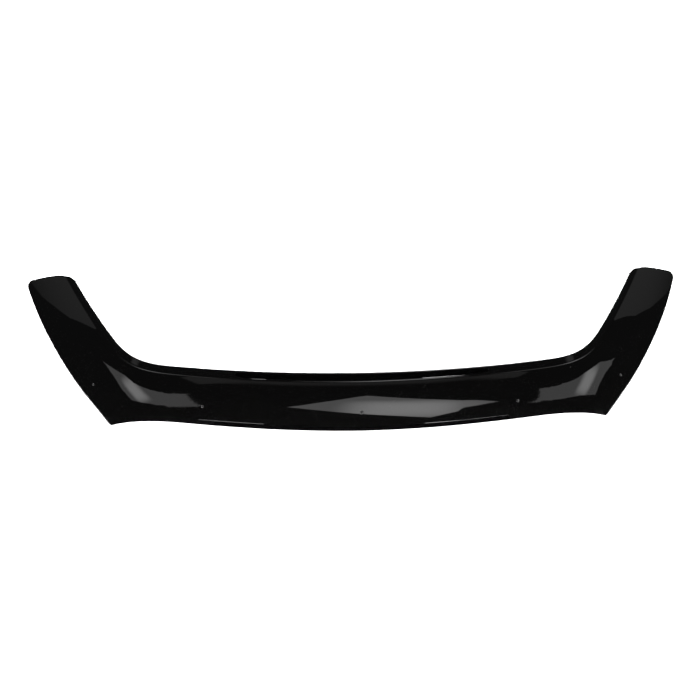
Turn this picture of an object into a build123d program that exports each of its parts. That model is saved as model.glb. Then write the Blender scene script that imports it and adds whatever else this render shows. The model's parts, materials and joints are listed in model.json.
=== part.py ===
from build123d import *
from math import cos, degrees, radians, sin
import os

os.makedirs("parts", exist_ok=True)

# A hood bug deflector: one thermoformed and router-trimmed sheet of black acrylic.
# +X runs across the car, +Y towards the windscreen and +Z up. The origin is on the show face,
# in the mouth of the centre fixing hole. A station is a distance along the lip edge, seen in
# plan, from the middle of the car: positive on the right half, negative on the left.

# Sheet and fixing holes, placed by their distance under the root of the lip
sheet_thickness = 3.0
hole_diameter = 5.5
centre_hole_below_root = 61.0
mid_hole_below_root = 59.0
arm_hole_below_root = 78.5
mid_hole_station = 317.0
arm_hole_past_corner = 47.0

# Plan of the lip edge, from the middle outwards: bow, elbow that tightens and opens again, arm
bow_radius = 2070.0
bow_length = 375.0
elbow_radius = 127.5
elbow_length = 190.0
elbow_arcs = 16
arm_radius = 1600.0
arm_length = 225.0

# Height of the lip edge: it sinks a little along the bow, then climbs with the arm
bow_drop = 3.8
arm_slope = 0.23

# Section across the sheet, in the order that it leaves the lip edge
lip_at_centre = 14.5
lip_at_tip = 10.0
lip_edge_radius = 1.2
lip_kick = 25.0
root_radius = 11.0
bow_tilt = 45.0
arm_tilt = 20.0
tilt_overlap = 170.0
crown_radius = 350.0
face_at_centre = 88.5
face_narrowing = 7.4
crease_radius = 7.0
crease_turn_on_bow = 11.0
crease_turn_on_arm = 2.0
crease_fade_length = 110.0
flange_length = 10.2

# Lower corner, where the face flares out below the elbow
corner_distance_past_bow = 90.0
corner_spur = 38.0
corner_spur_power = 16
face_before_trim = 134.0

# Router-cut outline of the arm, in plan
tip_from_arm_end = 49.0
tip_width = 98.5
tip_skew = 12.0
tip_inner_radius = 60.0
tip_outer_radius = 9.0
tip_run_in_angle = 3.0
arm_edge_bulge = 21.0
trim_clearance = 120.0

bow_spans = 5
elbow_spans = 8
arm_spans = 5


def ease(t):
    """Smooth step from 0 to 1."""
    t = min(max(t, 0.0), 1.0)
    return t * t * (3 - 2 * t)


def radius_round_elbow(t):
    """Radius of the plan at a share of the elbow: from the bow's, down to the tightest, up to the arm's."""
    open_radius = bow_radius if t < 0.5 else arm_radius
    tightness = ease(1 - abs(2 * t - 1))
    return 1 / ((1 - tightness) / open_radius + tightness / elbow_radius)


# Lip edge in plan, right half, from the middle of the car
with BuildLine(Plane.XY) as lip_plan:
    run = JernArc((0, 0), (1, 0), bow_radius, degrees(bow_length / bow_radius))
    for step in range(elbow_arcs):
        radius = radius_round_elbow((step + 0.5) / elbow_arcs)
        run = JernArc(run @ 1, run % 1, radius, degrees(elbow_length / elbow_arcs / radius))
    JernArc(run @ 1, run % 1, arm_radius, degrees(arm_length / arm_radius))

lip_curve = lip_plan.wires()[0]
half_length = bow_length + elbow_length + arm_length
turn_end = bow_length + elbow_length
corner_station = bow_length + corner_distance_past_bow


def lip_height(distance):
    """Height of the lip edge: a parabola along the bow, then a slope eased in round the elbow."""
    bow_slope = -2 * bow_drop / bow_length
    if distance <= bow_length:
        return bow_slope * distance**2 / (2 * bow_length)
    t = min((distance - bow_length) / elbow_length, 1.0)
    eased = (arm_slope - bow_slope) * (t**3 - t**4 / 2)
    return -bow_drop + elbow_length * (bow_slope * t + eased) + arm_slope * max(distance - turn_end, 0.0)


def lip_length(distance):
    """Width of the lip, which narrows towards the tip of the arm."""
    return lip_at_centre + (lip_at_tip - lip_at_centre) * distance / half_length


def face_tilt(distance):
    """Slope of the face just below its root, in degrees under the horizontal."""
    blend = ease((distance - bow_length + tilt_overlap) / (elbow_length + 2 * tilt_overlap))
    return bow_tilt + (arm_tilt - bow_tilt) * blend


def face_length(distance):
    """Length of the face: it narrows along the bow, flares to the corner and is trimmed on the arm."""
    t = distance / corner_station
    flared = face_at_centre - face_narrowing * t**2 + corner_spur * t**corner_spur_power
    return min(flared, face_before_trim)


def crease_turn(distance):
    """Turn of the lower crease, which fades out towards the corner."""
    fade = ease((distance - corner_station + crease_fade_length) / crease_fade_length)
    return crease_turn_on_bow + (crease_turn_on_arm - crease_turn_on_bow) * fade


def skin(distance, depth):
    """The section's line at a depth under the show face: lip, root, face, crease and flange."""
    slope = face_tilt(distance) + lip_kick
    start = (-depth * sin(radians(slope)), -depth * cos(radians(slope)))
    lip = PolarLine(start, lip_length(distance), -slope)
    root = JernArc(lip @ 1, lip % 1, root_radius + depth, lip_kick)
    crown = degrees(face_length(distance) / crown_radius)
    face = JernArc(root @ 1, root % 1, crown_radius - depth, -crown)
    crease = JernArc(face @ 1, face % 1, crease_radius - depth, -crease_turn(distance))
    flange = PolarLine(crease @ 1, flange_length, direction=crease % 1)
    return lip, face, flange


def face_point(distance, below_root):
    """A point of the show face in its section: outwards and upwards from the lip edge."""
    with BuildLine():
        face = skin(distance, 0)[1]
    return face @ (below_root / face.length)


# The lip edge is placed so that the centre hole lands on the origin
centre_hole = face_point(0, centre_hole_below_root)


def station_plane(station):
    """Upright plane across the sheet: its x points out of the face and its y points up."""
    side = -1 if station < 0 else 1
    distance = abs(station)
    point = lip_curve.position_at(distance / half_length)
    tangent = lip_curve.tangent_at(distance / half_length)
    return Plane(
        origin=(side * point.X, point.Y + centre_hole.X, lip_height(distance) - centre_hole.Y),
        x_dir=(side * tangent.Y, -tangent.X, 0),
        z_dir=(-tangent.X, -side * tangent.Y, 0),
    )


def section(station):
    """Closed section of the sheet, with a rounded lip edge and a square lower edge."""
    with BuildSketch(station_plane(station)) as outline:
        with BuildLine():
            show_lip, _, show_flange = skin(abs(station), 0)
            back_lip, _, back_flange = skin(abs(station), sheet_thickness)
            out_of_sheet = (show_lip % 0) * -lip_edge_radius
            through_sheet = (back_lip @ 0 - show_lip @ 0).normalized() * lip_edge_radius
            show_crest = show_lip @ 0 + out_of_sheet + through_sheet
            back_crest = back_lip @ 0 + out_of_sheet - through_sheet
            RadiusArc(show_lip @ 0, show_crest, -lip_edge_radius)
            Line(show_crest, back_crest)
            RadiusArc(back_lip @ 0, back_crest, lip_edge_radius)
            Line(show_flange @ 1, back_flange @ 1)
        make_face()
    return outline.sketch


# Stations: wide apart on the bow and the arm, close together round the elbow
bow_stations = [bow_length * k / bow_spans for k in range(1, bow_spans)]
turn_stations = [bow_length + elbow_length * k / elbow_spans for k in range(elbow_spans)]
arm_stations = [turn_end + arm_length * k / arm_spans for k in range(arm_spans + 1)]
half_stations = bow_stations + turn_stations + arm_stations
stations = [-s for s in reversed(half_stations)] + [0.0] + half_stations

# Corners of the trimmed arm in plan: the lower corner and the two corners of the tip
with BuildLine():
    corner_flange = skin(corner_station, 0)[2]
lower_corner = station_plane(corner_station).from_local_coords(corner_flange @ 1)
tip_station = half_length - tip_from_arm_end
tip_heading = lip_curve.tangent_at(tip_station / half_length)
tip_on_lip = station_plane(tip_station).origin
inner_corner = Vector(tip_on_lip.X, tip_on_lip.Y)
outer_corner = inner_corner + Vector(tip_width, tip_skew)
run_in = tip_heading.rotate(Axis.Z, -tip_run_in_angle) * -trim_clearance
trim_reach = half_length + trim_clearance

with BuildPart() as deflector_shell:
    loft(sections=[section(s) for s in stations])

    # The router follows the outline of each arm, from the lower corner round the tip to the lip
    with BuildSketch(Plane.XY.offset(-trim_reach)) as trimmed_waste:
        with BuildLine():
            outer_edge = SagittaArc(
                (lower_corner.X, lower_corner.Y),
                (outer_corner.X, outer_corner.Y),
                -arm_edge_bulge,
            )
            end_edge = Line(outer_edge @ 1, (inner_corner.X, inner_corner.Y))
            inner_edge = Line(end_edge @ 1, end_edge @ 1 + run_in)
            Polyline(
                inner_edge @ 1,
                (inner_corner.X - trim_clearance, trim_reach),
                (trim_reach, trim_reach),
                (trim_reach, -trim_reach),
                (lower_corner.X, -trim_reach),
                outer_edge @ 0,
            )
        make_face()
        fillet(trimmed_waste.vertices().sort_by_distance(end_edge @ 1)[0], tip_inner_radius)
        fillet(trimmed_waste.vertices().sort_by_distance(end_edge @ 0)[0], tip_outer_radius)
    extrude(amount=2 * trim_reach, mode=Mode.SUBTRACT)
    with BuildSketch(Plane.XY.offset(-trim_reach)):
        mirror(trimmed_waste.sketch_local, about=Plane.YZ)
    extrude(amount=2 * trim_reach, mode=Mode.SUBTRACT)

    # Five fixing holes, each drilled square to the show face
    hole_spots = [(0.0, centre_hole_below_root)]
    for side in (-1, 1):
        hole_spots.append((side * mid_hole_station, mid_hole_below_root))
        hole_spots.append((side * (corner_station + arm_hole_past_corner), arm_hole_below_root))
    for station, below_root in hole_spots:
        mouth = station_plane(station).from_local_coords(face_point(abs(station), below_root))
        show_face = deflector_shell.faces().sort_by_distance(mouth)[0]
        square = Plane(origin=mouth, z_dir=show_face.normal_at(mouth)).offset(sheet_thickness)
        with Locations(square):
            Hole(hole_diameter / 2, depth=3 * sheet_thickness)

deflector_shell.part.label = "deflector_shell"
export_step(deflector_shell.part, "parts/deflector_shell.step")
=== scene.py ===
import json
from math import cos, radians, sin

import bmesh
import bpy
from mathutils import Matrix, Vector
from mathutils.bvhtree import BVHTree


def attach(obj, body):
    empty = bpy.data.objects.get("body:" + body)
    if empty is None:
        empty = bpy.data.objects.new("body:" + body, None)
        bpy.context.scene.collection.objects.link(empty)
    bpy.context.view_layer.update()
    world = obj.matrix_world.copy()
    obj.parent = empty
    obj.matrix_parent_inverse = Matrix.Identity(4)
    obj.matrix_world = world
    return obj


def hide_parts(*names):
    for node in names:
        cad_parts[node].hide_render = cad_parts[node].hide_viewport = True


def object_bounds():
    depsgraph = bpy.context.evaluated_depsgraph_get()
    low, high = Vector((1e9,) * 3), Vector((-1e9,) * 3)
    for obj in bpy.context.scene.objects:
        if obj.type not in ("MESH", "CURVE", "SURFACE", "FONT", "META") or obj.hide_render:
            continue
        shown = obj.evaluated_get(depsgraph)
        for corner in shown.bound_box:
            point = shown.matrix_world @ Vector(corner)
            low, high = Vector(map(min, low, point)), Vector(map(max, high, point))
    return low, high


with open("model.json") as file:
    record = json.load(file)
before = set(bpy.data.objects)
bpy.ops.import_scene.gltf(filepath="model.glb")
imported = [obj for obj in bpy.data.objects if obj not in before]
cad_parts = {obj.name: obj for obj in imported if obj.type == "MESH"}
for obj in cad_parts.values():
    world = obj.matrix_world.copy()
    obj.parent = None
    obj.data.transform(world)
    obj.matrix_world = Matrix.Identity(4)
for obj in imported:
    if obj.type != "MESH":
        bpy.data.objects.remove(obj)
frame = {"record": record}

cad_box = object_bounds()
scene = bpy.context.scene

# The formed sheet, in metres and radians. A station is a distance along the lip edge, seen in plan,
# from the middle of the car, and a reach is a distance along the sheet below the lip edge.
SHEET_THICKNESS = 0.003
LIP_EDGE_RADIUS = 0.0012
CUT_EDGE_RADIUS = 0.0009
HOLE_EDGE_RADIUS = 0.0004
LIP_EDGE_STEPS = 4
CUT_EDGE_STEPS = 3
HOLE_EDGE_STEPS = 2
HOLE_RADIUS = 0.00275

BOW_RADIUS = 2.07
BOW_LENGTH = 0.375
ELBOW_RADIUS = 0.1275
ELBOW_LENGTH = 0.190
ELBOW_ARCS = 16
ARM_RADIUS = 1.6
ARM_LENGTH = 0.225
BOW_DROP = 0.0038
ARM_SLOPE = 0.23

LIP_AT_CENTRE = 0.0145
LIP_AT_TIP = 0.010
LIP_KICK = radians(25)
ROOT_RADIUS = 0.011
BOW_TILT = radians(45)
ARM_TILT = radians(20)
TILT_OVERLAP = 0.170
CROWN_RADIUS = 0.350
FACE_AT_CENTRE = 0.0885
FACE_NARROWING = 0.0074
CREASE_RADIUS = 0.007
CREASE_TURN_ON_BOW = radians(11)
CREASE_TURN_ON_ARM = radians(2)
CREASE_FADE = 0.110
FLANGE_LENGTH = 0.0101

CORNER_DISTANCE_PAST_BOW = 0.090
CORNER_SPUR = 0.038
CORNER_SPUR_POWER = 16
FACE_BEFORE_TRIM = 0.134
CENTRE_HOLE_BELOW_ROOT = 0.061

TIP_FROM_ARM_END = 0.049
TIP_WIDTH = 0.0985
TIP_SKEW = 0.012
TIP_INNER_RADIUS = 0.060
TIP_OUTER_RADIUS = 0.009
TIP_RUN_IN = radians(3)
ARM_EDGE_BULGE = 0.021

TURN_END = BOW_LENGTH + ELBOW_LENGTH
HALF_LENGTH = TURN_END + ARM_LENGTH
CORNER = BOW_LENGTH + CORNER_DISTANCE_PAST_BOW

# Grid of the blank: columns along half of the sheet, rows from the lip edge to the lower edge
BOW_COLUMNS = 92
FLARE_COLUMNS = 28
ARM_COLUMNS = 76
HALF_COLUMNS = BOW_COLUMNS + FLARE_COLUMNS + ARM_COLUMNS
LIP_ROWS = 3
ROOT_ROWS = 5
FACE_ROWS = 30
CREASE_ROWS = 6
CREASE_BAND = 0.0036
FLANGE_ROWS = 4
ROWS = LIP_ROWS + ROOT_ROWS + FACE_ROWS + CREASE_ROWS + FLANGE_ROWS
HOLE_MARGIN = 0.0065
HOLE_RINGS = (0.0085, 0.0060, 0.0042, HOLE_RADIUS)
SEARCH_STEPS = 26
STRAIGHT = 1e-9
RADIUS_TOLERANCE = 1e-5

# Finish: black acrylic, dyed through, and the satin edge that the router leaves on it
BLACK_DEEP = (0.0085, 0.0085, 0.0095, 1.0)
BLACK_WARM = (0.0115, 0.0115, 0.0120, 1.0)
BLACK_CLOUD_SCALE = 3.0
DUST_GREY = (0.16, 0.155, 0.15, 1.0)
CUT_DARK = (0.012, 0.012, 0.013, 1.0)
CUT_PALE = (0.030, 0.030, 0.031, 1.0)
ACRYLIC_IOR = 1.49
SHEET_ROUGHNESS = 0.012
HAZE_ROUGHNESS = 0.055
RIPPLE_HEIGHT = 0.00012
CUT_ROUGHNESS_LOW = 0.32
CUT_ROUGHNESS_HIGH = 0.52
TOOL_MARK_SCALE = 900.0
TOOL_MARK_STRETCH = (1.0, 1.0, 0.04)
TOOL_MARK_HEIGHT = 0.00003
TOOL_MARK_STRENGTH = 0.6

# Marks of handling: how fine each is, and between which values of its noise it comes in
SPECK_SCALE = 420.0
SPECK_CORE = 0.10
SPECK_RIM = 0.20
DUST_DRIFT_SCALE = 26.0
DUST_DRIFT_RANGE = (0.52, 0.72)
WIPE_SCALE = 9.0
WIPE_STRETCH = (3.0, 60.0, 60.0)
WIPE_RANGE = (0.42, 0.72)
HAZE_CLOUD_SCALE = 7.0
HAZE_CLOUD_RANGE = (0.35, 0.7)
HAZE_CLOUD_LEAST = 0.2
MIDDLE_RANGE = (0.3, 0.7)
RIPPLE_SCALE = 11.0
GRAIN_SCALE = 260.0

# Camera: in front of the part, a little to its left and 40 degrees above it
CAMERA_ELEVATION = radians(40)
CAMERA_YAW = radians(-3.340)
CAMERA_ROLL = radians(1.156)
CAMERA_DISTANCE = 2.5
CAMERA_LENS = 63.26
CAMERA_SENSOR = 36.0
CAMERA_DEPTH = 60.0
LOOK_RIGHT = -0.02357
LOOK_UP = 0.1270

# Floor: its tone, the painted pool of light in front of the bow that the gloss of the part sees and how
# far it reaches, how far out the floor starts to glow of itself, and the light that falls on it
FLOOR_HALF_WIDTH = 20.0
FLOOR_GAP = 0.0005
FLOOR_WHITE = 0.9
FLOOR_ROUGHNESS = 0.9
FLOOR_IN_GLOSS = 0.45
FLOOR_FAR_IN_GLOSS = 0.004
PAINTED_POOL_REACH = 0.05
PAINTED_POOL_FADE = 0.11
GLOW_START = 0.75
GLOW_FULL = 1.0
FLOOR_LIGHT_RADIUS = 0.01
FLOOR_LIGHT_STRENGTH = 14.0

# Painted shade on the floor, in a soft bent strip under and behind the band, seen through its holes
SHADE_LINE = 0.055
SHADE_BEND = 0.3
SHADE_FULL = 0.022
SHADE_GONE = 0.048
SHADE_END = 0.576
SHADE_SOFT = 0.01
SHADE_DEEP = 0.02

# Room around the part, as its gloss and its matt sides see it
ROOM_IN_GLOSS = 0.066
ROOM_LIGHT = 0.05
WHITE = (1.0, 1.0, 1.0, 1.0)


def ease(t):
    """Smooth step from 0 to 1."""
    t = min(max(t, 0.0), 1.0)
    return t * t * (3 - 2 * t)


def radius_round_elbow(t):
    """Radius of the plan at a share of the elbow: the bow's, down to the tightest, up to the arm's."""
    open_radius = BOW_RADIUS if t < 0.5 else ARM_RADIUS
    tightness = ease(1 - abs(2 * t - 1))
    return 1 / ((1 - tightness) / open_radius + tightness / ELBOW_RADIUS)


# The sheet's plan path from the middle outwards, as (length, turn): bow, elbow, arm
ELBOW_RADII = [radius_round_elbow((step + 0.5) / ELBOW_ARCS) for step in range(ELBOW_ARCS)]
PLAN_RUNS = [
    (BOW_LENGTH, BOW_LENGTH / BOW_RADIUS),
    *[(ELBOW_LENGTH / ELBOW_ARCS, ELBOW_LENGTH / ELBOW_ARCS / radius) for radius in ELBOW_RADII],
    (ARM_LENGTH, ARM_LENGTH / ARM_RADIUS),
]


def follow(runs, heading, reach):
    """Walks a reach along straight and round runs; returns the point and the heading there."""
    point = Vector((0.0, 0.0))
    for length, turn in runs:
        step = min(length, reach)
        bend = turn * step / length
        chord = step * (sin(bend / 2) / (bend / 2) if abs(bend) > STRAIGHT else 1.0)
        point += chord * Vector((cos(heading + bend / 2), sin(heading + bend / 2)))
        heading += bend
        reach -= step
        if reach <= 0:
            break
    return point, heading


def lip_height(station):
    """Height of the lip edge: a parabola along the bow, then a slope eased in round the elbow."""
    bow_slope = -2 * BOW_DROP / BOW_LENGTH
    if station <= BOW_LENGTH:
        return bow_slope * station**2 / (2 * BOW_LENGTH)
    t = min((station - BOW_LENGTH) / ELBOW_LENGTH, 1.0)
    eased = (ARM_SLOPE - bow_slope) * (t**3 - t**4 / 2)
    return -BOW_DROP + ELBOW_LENGTH * (bow_slope * t + eased) + ARM_SLOPE * max(station - TURN_END, 0.0)


def section_runs(station):
    """Lip, root, face, crease and flange of the section at a station, as (length, turn) runs."""
    t = station / CORNER
    lip = LIP_AT_CENTRE + (LIP_AT_TIP - LIP_AT_CENTRE) * station / HALF_LENGTH
    flared = FACE_AT_CENTRE - FACE_NARROWING * t**2 + CORNER_SPUR * t**CORNER_SPUR_POWER
    face = min(flared, FACE_BEFORE_TRIM)
    fade = ease((station - CORNER + CREASE_FADE) / CREASE_FADE)
    crease_turn = CREASE_TURN_ON_BOW + (CREASE_TURN_ON_ARM - CREASE_TURN_ON_BOW) * fade
    return (
        (lip, 0.0),
        (ROOT_RADIUS * LIP_KICK, LIP_KICK),
        (face, -face / CROWN_RADIUS),
        (CREASE_RADIUS * crease_turn, -crease_turn),
        (FLANGE_LENGTH, 0.0),
    )


def section_lengths(station):
    """Lengths of the lip, root, face, crease and flange at a station."""
    return [length for length, _ in section_runs(station)]


def section_slope(station):
    """Heading in which the section leaves the lip edge: downwards and outwards."""
    blend = ease((station - BOW_LENGTH + TILT_OVERLAP) / (ELBOW_LENGTH + 2 * TILT_OVERLAP))
    return -(BOW_TILT + (ARM_TILT - BOW_TILT) * blend) - LIP_KICK


def centre_hole_offset():
    """Place of the centre hole in its section, which the frame has at its origin."""
    lip, root = section_lengths(0.0)[:2]
    return follow(section_runs(0.0), section_slope(0.0), lip + root + CENTRE_HOLE_BELOW_ROOT)[0]


HOLE_OFFSET = centre_hole_offset()


def show_point(station, reach):
    """Point of the show face, a reach along the sheet below the lip edge."""
    plan, heading = follow(PLAN_RUNS, 0.0, station)
    across, _ = follow(section_runs(station), section_slope(station), reach)
    return Vector((
        plan.x + across.x * sin(heading),
        plan.y - across.x * cos(heading) + HOLE_OFFSET.x,
        lip_height(station) + across.y - HOLE_OFFSET.y,
    ))


def full_reach(station):
    """Length of the section before any trim."""
    return sum(section_lengths(station))


# Outline of the trimmed arm in plan: the lower corner, the outer edge's arc and the tip's two edges
LOWER_CORNER = show_point(CORNER, full_reach(CORNER)).xy
INNER_CORNER = show_point(HALF_LENGTH - TIP_FROM_ARM_END, 0.0).xy
OUTER_CORNER = INNER_CORNER + Vector((TIP_WIDTH, TIP_SKEW))
ARM_CHORD = OUTER_CORNER - LOWER_CORNER
ARM_EDGE_RADIUS = (ARM_CHORD.length**2 / 4 + ARM_EDGE_BULGE**2) / (2 * ARM_EDGE_BULGE)
ARM_EDGE_CENTRE = (
    (LOWER_CORNER + OUTER_CORNER) / 2
    + Vector((-ARM_CHORD.y, ARM_CHORD.x)).normalized() * (ARM_EDGE_RADIUS - ARM_EDGE_BULGE)
)
END_EDGE = Vector((TIP_WIDTH, TIP_SKEW)).normalized()
END_INWARD = Vector((END_EDGE.y, -END_EDGE.x))
RUN_IN_HEADING = follow(PLAN_RUNS, 0.0, HALF_LENGTH - TIP_FROM_ARM_END)[1] - TIP_RUN_IN
RUN_IN = Vector((cos(RUN_IN_HEADING), sin(RUN_IN_HEADING)))
RUN_INWARD = Vector((RUN_IN.y, -RUN_IN.x))


def end_clearance(point):
    """Distance of a point in plan inside the end edge of the arm."""
    return (point - INNER_CORNER).dot(END_INWARD)


def run_clearance(point):
    """Distance of a point in plan inside the line that runs in to the tip."""
    return (point - INNER_CORNER).dot(RUN_INWARD)


def edge_clearance(point):
    """Distance of a point in plan inside the outer edge of the arm."""
    return ARM_EDGE_RADIUS - (point - ARM_EDGE_CENTRE).length


def last_inside(clearance, low, high):
    """The place between low and high where a clearance falls to nothing."""
    for _ in range(SEARCH_STEPS):
        middle = (low + high) / 2
        if clearance(middle) > 0:
            low = middle
        else:
            high = middle
    return low


def on_end_line(distance, depth):
    """Point in plan at a distance along the end edge, from its inner corner, and a depth inside it."""
    return INNER_CORNER + END_EDGE * distance + END_INWARD * depth


# Centres of the tip's two roundings, each as far from both of its edges as its radius
OUTER_CENTRE = on_end_line(
    last_inside(
        lambda d: edge_clearance(on_end_line(d, TIP_OUTER_RADIUS)) - TIP_OUTER_RADIUS,
        0.0,
        TIP_WIDTH,
    ),
    TIP_OUTER_RADIUS,
)
INNER_CENTRE = on_end_line(
    TIP_WIDTH
    - last_inside(
        lambda d: run_clearance(on_end_line(TIP_WIDTH - d, TIP_INNER_RADIUS)) - TIP_INNER_RADIUS,
        0.0,
        TIP_WIDTH,
    ),
    TIP_INNER_RADIUS,
)
OUTER_SPOKE = (OUTER_CENTRE - ARM_EDGE_CENTRE).normalized()
OUTER_TANGENT = Vector((-OUTER_SPOKE.y, OUTER_SPOKE.x))


def rounding_clearance(point, centre, radius, along_a, along_b):
    """Distance inside a rounding, for a point that lies past its centre along both edges."""
    out = point - centre
    if out.dot(along_a) > 0 and out.dot(along_b) > 0:
        return radius - out.length
    return radius


def tip_clearance(point):
    """Distance of a point in plan inside the rounded tip of the arm."""
    return min(
        end_clearance(point),
        run_clearance(point),
        rounding_clearance(point, INNER_CENTRE, TIP_INNER_RADIUS, RUN_IN, -END_EDGE),
        rounding_clearance(point, OUTER_CENTRE, TIP_OUTER_RADIUS, END_EDGE, OUTER_TANGENT),
    )


def trimmed_reach(station):
    """Length of the section from the lip edge to the lower edge, or to the arm's cut edge."""
    if station <= CORNER:
        return full_reach(station)
    return last_inside(
        lambda reach: edge_clearance(show_point(station, reach).xy),
        0.0,
        full_reach(station),
    )


def row_reach(station, row):
    """Reach of a row: the lip and root keep their own rows and the rest share what is left."""
    lip, root = section_lengths(station)[:2]
    if row <= LIP_ROWS:
        return (lip + LIP_EDGE_RADIUS) * row / LIP_ROWS - LIP_EDGE_RADIUS
    if row <= LIP_ROWS + ROOT_ROWS:
        return lip + root * (row - LIP_ROWS) / ROOT_ROWS
    row -= LIP_ROWS + ROOT_ROWS
    face, crease, flange = section_lengths(min(station, CORNER))[2:]
    margin = (CREASE_BAND - crease) / 2
    face, crease, flange = face - margin, CREASE_BAND, flange - margin
    part = face * min(row, FACE_ROWS) / FACE_ROWS
    part += crease * min(max(row - FACE_ROWS, 0), CREASE_ROWS) / CREASE_ROWS
    part += flange * max(row - FACE_ROWS - CREASE_ROWS, 0) / FLANGE_ROWS
    base = lip + root
    return base + (trimmed_reach(station) - base) * part / (face + crease + flange)


def row_end(row):
    """Station at which a row meets the end of the arm."""
    return last_inside(
        lambda station: tip_clearance(show_point(station, row_reach(station, row)).xy),
        CORNER + ARM_LENGTH,
        HALF_LENGTH + TIP_WIDTH,
    )


ROW_ENDS = [row_end(row) for row in range(ROWS + 1)]


def column_station(column, row):
    """Station of a grid column: even steps on the bow, finer at the flare, sheared towards the tip."""
    if column <= BOW_COLUMNS:
        return BOW_LENGTH * column / BOW_COLUMNS
    column -= BOW_COLUMNS
    if column <= FLARE_COLUMNS:
        return BOW_LENGTH + CORNER_DISTANCE_PAST_BOW * column / FLARE_COLUMNS
    column -= FLARE_COLUMNS
    return CORNER + (ROW_ENDS[row] - CORNER) * column / ARM_COLUMNS


def form_sheet():
    """A flat blank, formed over the mould's shape, with the kind of its edge kept on each vertex."""
    sheet = bmesh.new()
    upright_cut = sheet.verts.layers.int.new("upright_cut")
    edge_radius = sheet.verts.layers.float.new("edge_radius")
    bmesh.ops.create_grid(sheet, x_segments=2 * HALF_COLUMNS, y_segments=ROWS, size=1.0)
    for vertex in sheet.verts:
        column = round(vertex.co.x * HALF_COLUMNS)
        row = round((1 - vertex.co.y) / 2 * ROWS)
        station = column_station(abs(column), row)
        place = show_point(station, row_reach(station, row))
        if column < 0:
            place.x = -place.x
        vertex.co = place
        at_tip = abs(column) == HALF_COLUMNS
        past_corner = abs(column) > BOW_COLUMNS + FLARE_COLUMNS
        vertex[upright_cut] = int(at_tip or row == ROWS and past_corner)
        vertex[edge_radius] = LIP_EDGE_RADIUS if row == 0 else CUT_EDGE_RADIUS
    return sheet


def face_outwards(sheet):
    """Turns every face of the open sheet to the show side."""
    bmesh.ops.recalc_face_normals(sheet, faces=sheet.faces)
    middle = min(sheet.faces, key=lambda face: face.calc_center_median().length)
    if middle.normal.y > 0:
        bmesh.ops.reverse_faces(sheet, faces=sheet.faces)


def set_on_ring(vertices, surface, centre, axis, radius):
    """Moves vertices of the sheet to a round ring about a hole, on the sheet's surface."""
    for vertex in vertices:
        out = vertex.co - centre
        flat = out - axis * out.dot(axis)
        above = centre + flat.normalized() * radius + axis * HOLE_MARGIN
        vertex.co = surface.ray_cast(above, -axis)[0]


def drill_hole(sheet, surface, centre, axis):
    """Opens a round hole, square to the show face, in rings that follow the sheet's surface."""
    edge_radius = sheet.verts.layers.float["edge_radius"]
    cut = [f for f in sheet.faces if (f.calc_center_median() - centre).length < HOLE_MARGIN]
    bmesh.ops.delete(sheet, geom=cut, context="FACES")
    ring = [e for e in sheet.edges if e.is_boundary and (e.verts[0].co - centre).length < 2 * HOLE_MARGIN]
    set_on_ring({v for e in ring for v in e.verts}, surface, centre, axis, HOLE_RINGS[0])
    for radius in HOLE_RINGS[1:]:
        made = bmesh.ops.extrude_edge_only(sheet, edges=ring)["geom"]
        inner = {g for g in made if isinstance(g, bmesh.types.BMVert)}
        ring = [g for g in made if isinstance(g, bmesh.types.BMEdge) and inner.issuperset(g.verts)]
        set_on_ring(inner, surface, centre, axis, radius)
    for vertex in inner:
        vertex[edge_radius] = HOLE_EDGE_RADIUS


def thicken(sheet):
    """Gives the sheet its thickness, with the arms' cut edges upright; returns the walls of its edges."""
    upright_cut = sheet.verts.layers.int["upright_cut"]
    rim = [(v, v.normal.copy()) for v in sheet.verts if v.is_boundary]
    show_side = set(sheet.verts)
    everything = sheet.verts[:] + sheet.edges[:] + sheet.faces[:]
    bmesh.ops.solidify(sheet, geom=everything, thickness=SHEET_THICKNESS)
    bmesh.ops.recalc_face_normals(sheet, faces=sheet.faces)
    for vertex, normal in rim:
        if vertex[upright_cut]:
            across = [e.other_vert(vertex) for e in vertex.link_edges]
            back = [v for v in across if v not in show_side][0]
            shift = (vertex.co - back.co).to_2d()
            back.co += Vector((shift.x, shift.y, -shift.dot(normal.to_2d()) / normal.z))
    return [f for f in sheet.faces if sum(v in show_side for v in f.verts) == 2]


def ease_edges(sheet, walls):
    """Rounds the lip's edge and takes the sharpness off the router's cuts and the holes."""
    edge_radius = sheet.verts.layers.float["edge_radius"]
    wanted = {wall: min(v[edge_radius] for v in wall.verts) for wall in walls}
    for wall, radius in wanted.items():
        if radius < (LIP_EDGE_RADIUS + CUT_EDGE_RADIUS) / 2:
            wall.material_index = 1
    for radius, segments in (
        (LIP_EDGE_RADIUS, LIP_EDGE_STEPS),
        (CUT_EDGE_RADIUS, CUT_EDGE_STEPS),
        (HOLE_EDGE_RADIUS, HOLE_EDGE_STEPS),
    ):
        cut = {f for f in wanted if f.is_valid and abs(wanted[f] - radius) < RADIUS_TOLERANCE}
        sharp = [
            e
            for e in sheet.edges
            if len(e.link_faces) == 2
            and sum(f in cut for f in e.link_faces) == 1
            and not any(f in wanted and f not in cut for f in e.link_faces)
        ]
        bmesh.ops.bevel(
            sheet,
            geom=sharp,
            offset=radius,
            offset_type="OFFSET",
            segments=segments,
            profile=0.5,
            affect="EDGES",
            clamp_overlap=True,
            material=-1,
        )


def add_object(name, form):
    """Puts a bmesh into the scene as an object, and frees it."""
    mesh = bpy.data.meshes.new(name)
    form.to_mesh(mesh)
    form.free()
    item = bpy.data.objects.new(name, mesh)
    scene.collection.objects.link(item)
    return item


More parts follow.
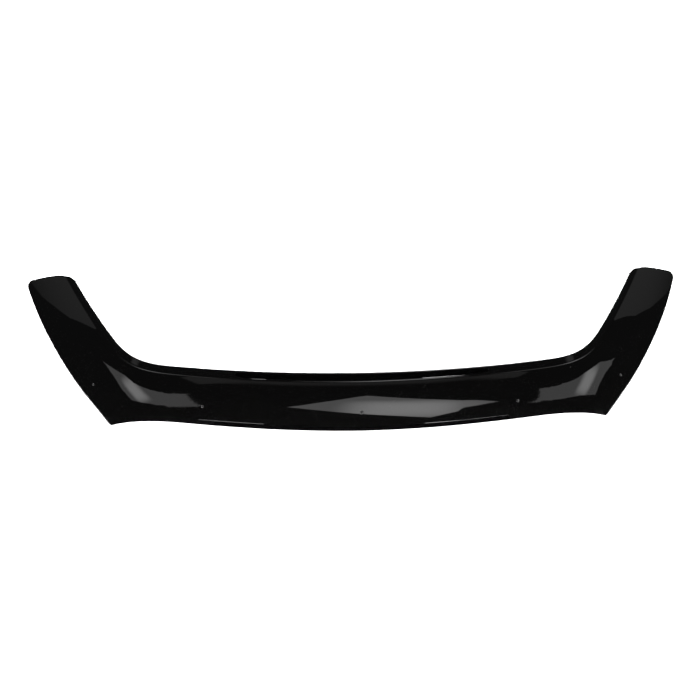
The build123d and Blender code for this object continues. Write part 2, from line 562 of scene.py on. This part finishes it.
def make_shell():
    """The finished sheet, drilled at the five mounts of the frame."""
    sheet = form_sheet()
    surface = BVHTree.FromBMesh(sheet)
    for mount in frame["record"]["mounts"]:
        drill_hole(sheet, surface, Vector(mount["pos_m"]), Vector(mount["axis"]).normalized())
    face_outwards(sheet)
    walls = thicken(sheet)
    ease_edges(sheet, walls)
    for face in sheet.faces:
        face.smooth = True
    shell = add_object("deflector_shell_formed", sheet)
    fair = shell.modifiers.new("even_shading", "WEIGHTED_NORMAL")
    fair.keep_sharp = True
    return shell


def set_camera():
    """The camera at the photograph's viewing angle."""
    camera = bpy.data.objects.new("camera", bpy.data.cameras.new("camera"))
    scene.collection.objects.link(camera)
    forward = Vector((
        -sin(CAMERA_YAW) * cos(CAMERA_ELEVATION),
        cos(CAMERA_YAW) * cos(CAMERA_ELEVATION),
        -sin(CAMERA_ELEVATION),
    ))
    level = Vector((cos(CAMERA_YAW), sin(CAMERA_YAW), 0.0))
    upright = level.cross(forward)
    right = level * cos(CAMERA_ROLL) + upright * sin(CAMERA_ROLL)
    up = upright * cos(CAMERA_ROLL) - level * sin(CAMERA_ROLL)
    turn = Matrix((right, up, -forward)).transposed().to_4x4()
    spot = right * LOOK_RIGHT + up * LOOK_UP - forward * CAMERA_DISTANCE
    camera.matrix_world = Matrix.Translation(spot) @ turn
    camera.data.lens = CAMERA_LENS
    camera.data.sensor_width = CAMERA_SENSOR
    camera.data.clip_end = CAMERA_DEPTH
    scene.camera = camera


def add(tree, kind, x, y, **settings):
    """A node at a place on the node sheet, with its properties set."""
    node = tree.nodes.new(kind)
    node.location = (x, y)
    for key, value in settings.items():
        setattr(node, key, value)
    return node


def number(tree, x, y, operation, first, second=None, clamp=False):
    """A number worked out of one or two others; each is a socket or a plain number."""
    node = add(tree, "ShaderNodeMath", x, y, operation=operation, use_clamp=clamp)
    for slot, value in zip(node.inputs, (first, second)):
        if isinstance(value, bpy.types.NodeSocket):
            tree.links.new(value, slot)
        elif value is not None:
            slot.default_value = value
    return node.outputs[0]


def spread(tree, x, y, value, low, high, to_low, to_high, smooth=True):
    """Turns a value's range into another range, held at both ends."""
    node = add(tree, "ShaderNodeMapRange", x, y, clamp=True)
    node.interpolation_type = "SMOOTHSTEP" if smooth else "LINEAR"
    tree.links.new(value, node.inputs["Value"])
    for name, amount in zip(("From Min", "From Max", "To Min", "To Max"), (low, high, to_low, to_high)):
        node.inputs[name].default_value = amount
    return node.outputs["Result"]


def noise(tree, x, y, place, scale, detail=2.0, roughness=0.5):
    """A cloudy noise that changes over the surface."""
    node = add(tree, "ShaderNodeTexNoise", x, y)
    tree.links.new(place, node.inputs["Vector"])
    node.inputs["Scale"].default_value = scale
    node.inputs["Detail"].default_value = detail
    node.inputs["Roughness"].default_value = roughness
    return node.outputs["Fac"]


def stretched(tree, x, y, place, scale):
    """Coordinates drawn out along an axis, for marks that run one way."""
    node = add(tree, "ShaderNodeMapping", x, y)
    tree.links.new(place, node.inputs["Vector"])
    node.inputs["Scale"].default_value = scale
    return node.outputs["Vector"]


def new_group(name, inputs, outputs):
    """An empty node group with its inputs, as (name, kind, value), and its outputs, which are numbers."""
    group = bpy.data.node_groups.new(name, "ShaderNodeTree")
    for label, kind, value in inputs:
        socket = group.interface.new_socket(name=label, in_out="INPUT", socket_type=kind)
        if value is not None:
            socket.default_value = value
    for label in outputs:
        group.interface.new_socket(name=label, in_out="OUTPUT", socket_type="NodeSocketFloat")
    source = add(group, "NodeGroupInput", -1200, 0)
    result = add(group, "NodeGroupOutput", 600, 0)
    return group, source.outputs, result.inputs


def handled_plastic_group():
    """Dust specks, wiping marks and the faint ripple of plastic that was heated and formed."""
    group, given, result = new_group(
        "handled_plastic",
        (
            ("Place", "NodeSocketVector", None),
            ("Dust", "NodeSocketFloat", 0.5),
            ("Wiping", "NodeSocketFloat", 0.5),
            ("Ripple", "NodeSocketFloat", 0.5),
            ("Grain", "NodeSocketFloat", 0.5),
        ),
        ("Dust Mask", "Haze", "Height"),
    )
    place = given["Place"]

    # Dust: small round specks, gathered in drifts
    specks = add(group, "ShaderNodeTexVoronoi", -900, 400, feature="F1")
    group.links.new(place, specks.inputs["Vector"])
    specks.inputs["Scale"].default_value = SPECK_SCALE
    speck = spread(group, -600, 400, specks.outputs["Distance"], SPECK_CORE, SPECK_RIM, 1.0, 0.0)
    drifting = noise(group, -900, 600, place, DUST_DRIFT_SCALE)
    drift = spread(group, -600, 600, drifting, *DUST_DRIFT_RANGE, 0.0, 1.0)
    dust = number(group, -300, 450, "MULTIPLY", speck, drift)
    group.links.new(number(group, 0, 400, "MULTIPLY", dust, given["Dust"]), result["Dust Mask"])

    # Haze: long wiping marks that come and go
    wiped = stretched(group, -1100, 100, place, WIPE_STRETCH)
    wipe = noise(group, -900, 100, wiped, WIPE_SCALE, detail=4.0, roughness=0.62)
    smear = spread(group, -600, 100, wipe, *WIPE_RANGE, 0.0, 1.0)
    clouds = noise(group, -900, -100, place, HAZE_CLOUD_SCALE, detail=3.0)
    cloud = spread(group, -600, -100, clouds, *HAZE_CLOUD_RANGE, HAZE_CLOUD_LEAST, 1.0)
    haze = number(group, -300, 0, "MULTIPLY", smear, cloud)
    group.links.new(number(group, 0, 0, "MULTIPLY", haze, given["Wiping"]), result["Haze"])

    # Height: the slow ripple of the forming and a fine grain
    ripple = noise(group, -900, -400, place, RIPPLE_SCALE, detail=1.0)
    slow = number(group, -300, -400, "MULTIPLY", ripple, given["Ripple"])
    grain = noise(group, -900, -600, place, GRAIN_SCALE, detail=1.0)
    fine = number(group, -300, -600, "MULTIPLY", grain, given["Grain"])
    group.links.new(number(group, 0, -500, "ADD", slow, fine), result["Height"])
    return group


def handled(tree, group, dust, wiping, ripple, grain):
    """The shared effect placed in a material, with the material's own amounts."""
    place = add(tree, "ShaderNodeTexCoord", -1300, 0).outputs["Object"]
    node = add(tree, "ShaderNodeGroup", -1000, 0, node_tree=group)
    tree.links.new(place, node.inputs["Place"])
    for name, amount in (("Dust", dust), ("Wiping", wiping), ("Ripple", ripple), ("Grain", grain)):
        node.inputs[name].default_value = amount
    return place, node.outputs


def blend_colours(tree, x, y, factor, low, high):
    """A colour between two others; each is a socket or a plain colour."""
    node = add(tree, "ShaderNodeMix", x, y, data_type="RGBA")
    tree.links.new(factor, node.inputs["Factor"])
    for name, colour in (("A", low), ("B", high)):
        if isinstance(colour, bpy.types.NodeSocket):
            tree.links.new(colour, node.inputs[name])
        else:
            node.inputs[name].default_value = colour
    return node.outputs["Result"]


def raise_surface(tree, shader, height, strength, distance):
    """Bends the shading of a material by a height."""
    bump = add(tree, "ShaderNodeBump", -250, -300)
    bump.inputs["Strength"].default_value = strength
    bump.inputs["Distance"].default_value = distance
    tree.links.new(height, bump.inputs["Height"])
    tree.links.new(bump.outputs["Normal"], shader.inputs["Normal"])


def new_material(name):
    """An empty material with its node sheet and its shader."""
    material = bpy.data.materials.new(name)
    material.use_nodes = True
    tree = material.node_tree
    return material, tree, tree.nodes["Principled BSDF"]


def gloss_black_acrylic(group):
    """Acrylic dyed through, with the gloss that the cast sheet keeps when it is formed."""
    material, tree, shader = new_material("gloss_black_acrylic")
    place, effect = handled(tree, group, dust=0.35, wiping=0.6, ripple=0.85, grain=0.02)
    clouds = noise(tree, -900, 500, place, BLACK_CLOUD_SCALE)
    shade = spread(tree, -700, 500, clouds, *MIDDLE_RANGE, 0.0, 1.0)
    body = blend_colours(tree, -450, 450, shade, BLACK_DEEP, BLACK_WARM)
    colour = blend_colours(tree, -200, 350, effect["Dust Mask"], body, DUST_GREY)
    tree.links.new(colour, shader.inputs["Base Color"])
    rough = spread(tree, -450, 50, effect["Haze"], 0.0, 1.0, SHEET_ROUGHNESS, HAZE_ROUGHNESS, smooth=False)
    dusty = number(tree, -200, 50, "ADD", rough, effect["Dust Mask"], clamp=True)
    tree.links.new(dusty, shader.inputs["Roughness"])
    raise_surface(tree, shader, effect["Height"], 1.0, RIPPLE_HEIGHT)
    shader.inputs["IOR"].default_value = ACRYLIC_IOR
    return material


def router_cut_edge(group):
    """The edge that the router leaves: the same acrylic with a fine satin tool mark."""
    material, tree, shader = new_material("router_cut_edge")
    place, effect = handled(tree, group, dust=0.8, wiping=0.3, ripple=0.1, grain=0.4)
    drawn_out = stretched(tree, -1100, 450, place, TOOL_MARK_STRETCH)
    marks = noise(tree, -900, 450, drawn_out, TOOL_MARK_SCALE, detail=3.0)
    cut = spread(tree, -650, 450, marks, *MIDDLE_RANGE, 0.0, 1.0)
    body = blend_colours(tree, -400, 450, cut, CUT_DARK, CUT_PALE)
    colour = blend_colours(tree, -200, 350, effect["Dust Mask"], body, DUST_GREY)
    tree.links.new(colour, shader.inputs["Base Color"])
    satin = spread(tree, -400, 50, cut, 0.0, 1.0, CUT_ROUGHNESS_LOW, CUT_ROUGHNESS_HIGH)
    tree.links.new(satin, shader.inputs["Roughness"])
    height = number(tree, -450, -300, "ADD", marks, effect["Height"])
    raise_surface(tree, shader, height, TOOL_MARK_STRENGTH, TOOL_MARK_HEIGHT)
    shader.inputs["IOR"].default_value = ACRYLIC_IOR
    return material


def painted_pool_in_gloss(tree, place):
    """Tone of the floor in the part's gloss: a painted pool of light, pale up to just in front of the bow
    and dark past that.
    """
    centre = add(tree, "ShaderNodeVectorMath", -1000, -200, operation="DISTANCE")
    tree.links.new(place, centre.inputs[0])
    centre.inputs[1].default_value = (0.0, BOW_RADIUS + cad_box[0].y, cad_box[0].z)
    return spread(
        tree,
        -800,
        0,
        centre.outputs["Value"],
        BOW_RADIUS + PAINTED_POOL_REACH,
        BOW_RADIUS + PAINTED_POOL_FADE,
        FLOOR_IN_GLOSS,
        FLOOR_FAR_IN_GLOSS,
    )


def shaded_white(tree, place):
    """Tone of the floor for the camera: white, with a soft strip of painted shade."""
    axes = add(tree, "ShaderNodeSeparateXYZ", -1600, 500)
    tree.links.new(place, axes.inputs["Vector"])
    squared = number(tree, -1500, 700, "POWER", axes.outputs["X"], 2.0)
    bend = number(tree, -1400, 600, "MULTIPLY", squared, SHADE_BEND)
    behind = number(tree, -1400, 400, "SUBTRACT", axes.outputs["Y"], SHADE_LINE)
    past_line = number(tree, -1200, 500, "SUBTRACT", behind, bend)
    off_line = number(tree, -1000, 500, "ABSOLUTE", past_line)
    side = number(tree, -1200, 800, "ABSOLUTE", axes.outputs["X"])
    # Painted shade: the floor is darkened in a soft bent strip under the band, ending at each side
    under = spread(tree, -800, 500, off_line, SHADE_FULL, SHADE_GONE, 1.0, 0.0)
    inside = spread(tree, -800, 700, side, SHADE_END, SHADE_END + SHADE_SOFT, 1.0, 0.0)
    shade = number(tree, -600, 600, "MULTIPLY", under, inside)
    return spread(tree, -400, 500, shade, 0.0, 1.0, FLOOR_WHITE, SHADE_DEEP, smooth=False)


def pale_floor():
    """A white floor for the camera, with its strip of painted shade, and a painted pool of light for the
    part's gloss.
    """
    material, tree, shader = new_material("pale_floor")
    place = add(tree, "ShaderNodeTexCoord", -1800, 0).outputs["Object"]
    seen = add(tree, "ShaderNodeLightPath", -800, 300).outputs["Is Camera Ray"]
    unseen = number(tree, -700, 200, "SUBTRACT", 1.0, seen)
    # Painted pool of light: the floor is pale close in front of the bow and dark past it, seen only in the
    # part's gloss
    pale = number(tree, -550, 0, "MULTIPLY", painted_pool_in_gloss(tree, place), unseen)
    # Painted shade: the floor is darkened for the camera in a strip under the band
    white = number(tree, -550, 200, "MULTIPLY", seen, shaded_white(tree, place))
    level = number(tree, -400, 100, "ADD", pale, white)
    tone = add(tree, "ShaderNodeCombineColor", -200, 0)
    for channel in tone.inputs:
        tree.links.new(level, channel)
    tree.links.new(tone.outputs["Color"], shader.inputs["Base Color"])
    shader.inputs["Roughness"].default_value = FLOOR_ROUGHNESS
    shader.inputs["Specular IOR Level"].default_value = 0.0
    away = add(tree, "ShaderNodeVectorMath", -1000, -400, operation="LENGTH")
    tree.links.new(place, away.inputs[0])
    lift = spread(tree, -800, -300, away.outputs["Value"], GLOW_START, GLOW_FULL, 0.0, 1.0)
    shader.inputs["Emission Color"].default_value = WHITE
    tree.links.new(number(tree, -550, -300, "MULTIPLY", lift, seen), shader.inputs["Emission Strength"])
    return material


def make_floor():
    """A wide pale floor just under the part."""
    ground = bmesh.new()
    bmesh.ops.create_grid(ground, x_segments=1, y_segments=1, size=FLOOR_HALF_WIDTH)
    bmesh.ops.translate(ground, verts=ground.verts, vec=(0.0, 0.0, cad_box[0].z - FLOOR_GAP))
    floor = add_object("floor", ground)
    floor.data.materials.append(pale_floor())
    return floor


def light_floor(floor):
    """An even light from the camera's place, which falls on the floor alone and casts no shadow."""
    lamp = bpy.data.lights.new("floor_light", "POINT")
    lamp.shadow_soft_size = FLOOR_LIGHT_RADIUS
    lamp.use_shadow = False
    lamp.use_nodes = True
    tree = lamp.node_tree
    even = add(tree, "ShaderNodeLightFalloff", -300, 0)
    even.inputs["Strength"].default_value = FLOOR_LIGHT_STRENGTH
    tree.links.new(even.outputs["Constant"], tree.nodes["Emission"].inputs["Strength"])
    item = bpy.data.objects.new("floor_light", lamp)
    scene.collection.objects.link(item)
    item.matrix_world = scene.camera.matrix_world
    lit = bpy.data.collections.new("lit_by_floor_light")
    lit.objects.link(floor)
    item.light_linking.receiver_collection = lit
    item.visible_glossy = False
    item.visible_camera = False


def card_light(name, glow, core, steady):
    """Light of a card: an even glow, and a core that fades into it from a steady share of its size."""
    material, tree, unused = new_material(name)
    tree.nodes.remove(unused)
    middle, turn, halves, bright = core
    place = add(tree, "ShaderNodeTexCoord", -1000, 0).outputs["Object"]
    oval = add(tree, "ShaderNodeMapping", -800, 0, vector_type="TEXTURE")
    tree.links.new(place, oval.inputs["Vector"])
    oval.inputs["Location"].default_value = middle
    oval.inputs["Rotation"].default_value = turn
    oval.inputs["Scale"].default_value = halves
    squared = add(tree, "ShaderNodeVectorMath", -700, 0, operation="MULTIPLY")
    tree.links.new(oval.outputs["Vector"], squared.inputs[0])
    tree.links.new(oval.outputs["Vector"], squared.inputs[1])
    far = add(tree, "ShaderNodeVectorMath", -600, 0, operation="LENGTH")
    tree.links.new(squared.outputs["Vector"], far.inputs[0])
    strength = spread(tree, -400, 0, far.outputs["Value"], steady, 1.0, bright, glow)
    glower = add(tree, "ShaderNodeEmission", 0, 0)
    tree.links.new(strength, glower.inputs["Strength"])
    tree.links.new(glower.outputs["Emission"], tree.nodes["Material Output"].inputs["Surface"])
    return material


def light_card(name, corners, glow, core, steady):
    """A flat card of light, seen only by glossy surfaces."""
    sheet = bmesh.new()
    card = bmesh.ops.create_circle(sheet, cap_ends=True, segments=len(corners), radius=1.0)["verts"]
    for vertex, corner in zip(card, corners):
        vertex.co = corner
    item = add_object(name, sheet)
    item.visible_camera = False
    item.visible_diffuse = False
    item.visible_transmission = False
    item.visible_volume_scatter = False
    item.visible_shadow = False
    item.data.materials.append(card_light(name, glow, core, steady))


def upright_card(name, y, corners, glow, middle, halves, bright, turn=0.0, steady=0.0):
    """A card that stands upright at y, with its corners and its core given in x and z."""
    core = ((middle[0], y, middle[1]), (0.0, turn, 0.0), (halves[0], 1.0, halves[1]), bright)
    light_card(name, [(x, y, z) for x, z in corners], glow, core, steady)


def level_card(name, z, corners, glow, middle, halves, bright, turn=0.0, steady=0.0):
    """A card that hangs level at z, with its corners and its core given in x and y."""
    core = ((middle[0], middle[1], z), (0.0, 0.0, turn), (halves[0], halves[1], 1.0), bright)
    light_card(name, [(x, y, z) for x, y in corners], glow, core, steady)


def set_world():
    """White behind the part, and a dim room for its gloss and its shaded sides."""
    world = bpy.data.worlds.new("studio")
    scene.world = world
    world.use_nodes = True
    tree = world.node_tree
    path = add(tree, "ShaderNodeLightPath", -900, 0)
    gloss = number(tree, -600, -100, "MULTIPLY", path.outputs["Is Glossy Ray"], ROOM_IN_GLOSS - ROOM_LIGHT)
    dim = number(tree, -400, -100, "ADD", gloss, ROOM_LIGHT)
    level = number(tree, -200, 0, "MAXIMUM", dim, path.outputs["Is Camera Ray"])
    back = tree.nodes["Background"]
    back.inputs["Color"].default_value = WHITE
    tree.links.new(level, back.inputs["Strength"])


shell = make_shell()
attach(shell, "root")
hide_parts("deflector_shell")

set_camera()

handled_plastic = handled_plastic_group()
shell.data.materials.append(gloss_black_acrylic(handled_plastic))
shell.data.materials.append(router_cut_edge(handled_plastic))

floor = make_floor()
light_floor(floor)
set_world()

# The lens of light in the middle of the face
upright_card(
    "front_card",
    y=-2.2,
    corners=(
        (-0.48, 1.32),
        (0.19, 1.82),
        (0.65, 1.58),
        (0.88, 1.48),
        (1.11, 1.36),
        (0.93, 0.99),
        (0.68, 0.84),
        (0.43, 0.95),
        (0.16, 1.06),
    ),
    glow=1.6,
    middle=(0.50, 1.20),
    halves=(0.64, 0.40),
    bright=4.2,
    turn=radians(10),
)

# The two swept patches beside the elbows, each with its streak
level_card(
    "left_bank",
    z=2.5,
    corners=(
        (-2.80, -0.10),
        (-2.24, -0.68),
        (-1.95, -1.12),
        (-1.56, -1.54),
        (-1.39, -1.75),
        (-1.31, -1.92),
        (-1.25, -2.35),
        (-1.28, -3.70),
        (-1.34, -2.80),
        (-1.58, -2.48),
        (-2.28, -2.02),
        (-2.60, -1.20),
        (-2.80, -0.35),
    ),
    glow=1.1,
    middle=(-1.99, -1.52),
    halves=(0.30, 1.00),
    bright=3.8,
    turn=radians(20.6),
)
level_card(
    "right_bank",
    z=2.0,
    corners=(
        (3.02, -0.12),
        (2.53, -0.22),
        (2.02, -0.74),
        (1.78, -1.04),
        (1.48, -1.38),
        (1.41, -1.62),
        (1.40, -1.87),
        (1.53, -3.02),
        (1.50, -2.60),
        (1.51, -2.36),
        (1.58, -2.23),
        (1.74, -2.06),
        (2.07, -1.87),
        (2.89, -1.70),
        (2.88, -1.15),
        (2.97, -0.62),
        (3.11, -0.27),
    ),
    glow=1.1,
    middle=(2.20, -1.10),
    halves=(0.32, 0.95),
    bright=3.8,
    turn=radians(-10.3),
)

# The grey sheen on the tips of the arms
level_card(
    "back_ceiling",
    z=3.0,
    corners=(
        (-2.43, 0.50),
        (-2.87, 0.55),
        (-3.43, 0.88),
        (-8.0, 3.60),
        (-8.0, 8.0),
        (8.0, 8.0),
        (8.0, 3.20),
        (4.90, 1.20),
        (4.00, 0.68),
        (3.42, 0.52),
        (2.85, 0.60),
    ),
    glow=0.16,
    middle=(0.5, 0.6),
    halves=(5.0, 3.0),
    bright=0.39,
)

# The dim strip on the face, under the root of the lip
level_card(
    "front_ceiling",
    z=2.55,
    corners=(
        (-1.31, -0.90),
        (-1.29, -1.20),
        (-1.20, -1.95),
        (-0.90, -2.50),
        (1.40, -2.50),
        (1.55, -1.93),
        (1.61, -0.90),
    ),
    glow=ROOM_IN_GLOSS,
    middle=(0.17, -1.20),
    halves=(1.72, 1.25),
    bright=0.31,
    steady=0.64,
)

# The fine lines along the root of the lip and along the crease
level_card(
    "top_card",
    z=3.0,
    corners=((0.04, -1.20), (1.50, -1.20), (1.50, 0.45), (0.04, 0.45)),
    glow=16.0,
    middle=(0.8, -0.4),
    halves=(1.0, 1.0),
    bright=16.0,
)
upright_card(
    "left_low_card",
    y=-3.5,
    corners=((-1.06, 0.74), (-1.01, 0.62), (-0.90, 0.62), (-0.90, 0.92), (-1.06, 0.92)),
    glow=9.0,
    middle=(-1.02, 0.77),
    halves=(0.2, 0.2),
    bright=12.0,
)
upright_card(
    "right_low_card",
    y=-3.5,
    corners=((0.90, 0.15), (1.30, 0.16), (1.42, 0.22), (1.38, 0.28), (0.90, 0.55)),
    glow=16.0,
    middle=(1.4, 0.4),
    halves=(0.5, 0.5),
    bright=28.0,
)

# The soft glints on the lip at the elbows
upright_card(
    "left_side_card",
    y=-1.5,
    corners=((-3.50, 0.55), (-2.25, 0.55), (-2.25, 1.20), (-3.50, 1.20)),
    glow=ROOM_IN_GLOSS,
    middle=(-2.88, 0.87),
    halves=(0.62, 0.32),
    bright=0.5,
)
upright_card(
    "right_side_card",
    y=-1.5,
    corners=((1.75, 0.36), (2.45, 0.36), (2.45, 0.88), (1.75, 0.88)),
    glow=ROOM_IN_GLOSS,
    middle=(2.1, 0.62),
    halves=(0.34, 0.26),
    bright=0.5,
)

# A soft wall of light behind the part, for its plain back
upright_card(
    "back_wall",
    y=5.0,
    corners=((-7.0, 0.2), (7.0, 0.2), (7.0, 3.2), (-7.0, 3.2)),
    glow=ROOM_IN_GLOSS,
    middle=(0.0, 1.5),
    halves=(7.0, 1.6),
    bright=0.9,
)

scene.view_settings.view_transform = "Standard"
scene.view_settings.look = "None"
scene.view_settings.exposure = 0.0
scene.view_settings.gamma = 1.0
